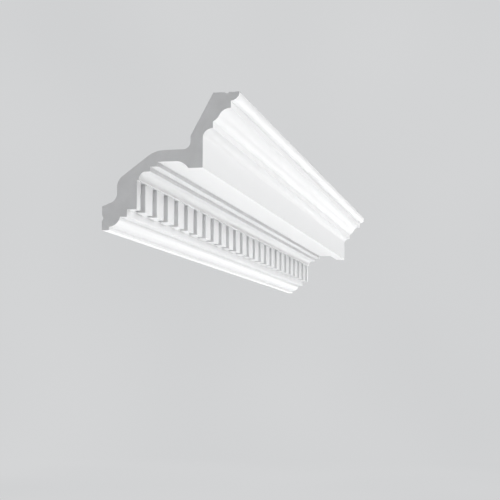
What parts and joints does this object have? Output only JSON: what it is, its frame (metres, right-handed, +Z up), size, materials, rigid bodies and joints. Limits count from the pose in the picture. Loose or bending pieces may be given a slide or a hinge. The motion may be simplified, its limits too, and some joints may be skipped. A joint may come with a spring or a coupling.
{
  "type": "cornice moulding length",
  "caption": "Dentil cornice length for the angle of a wall and a ceiling, with a tall corona, a stepped crown, a row of teeth and a hollow back.",
  "frame": {"origin": "on the wall seat at mid length, in the middle of the strip below its glue groove", "axes": "+X along the cornice, +Y into the wall, +Z up to the ceiling; the room is on the -Y side"},
  "size_m": [1.2, 0.169, 0.162],
  "materials": {
    "primed_foam": "white primer, smooth and satin-matte, on rigid foam; the sawn ends are bare and grey"
  },
  "bodies": {
    "root": {"cornice_length": "primed_foam"}
  },
  "joints": []
}
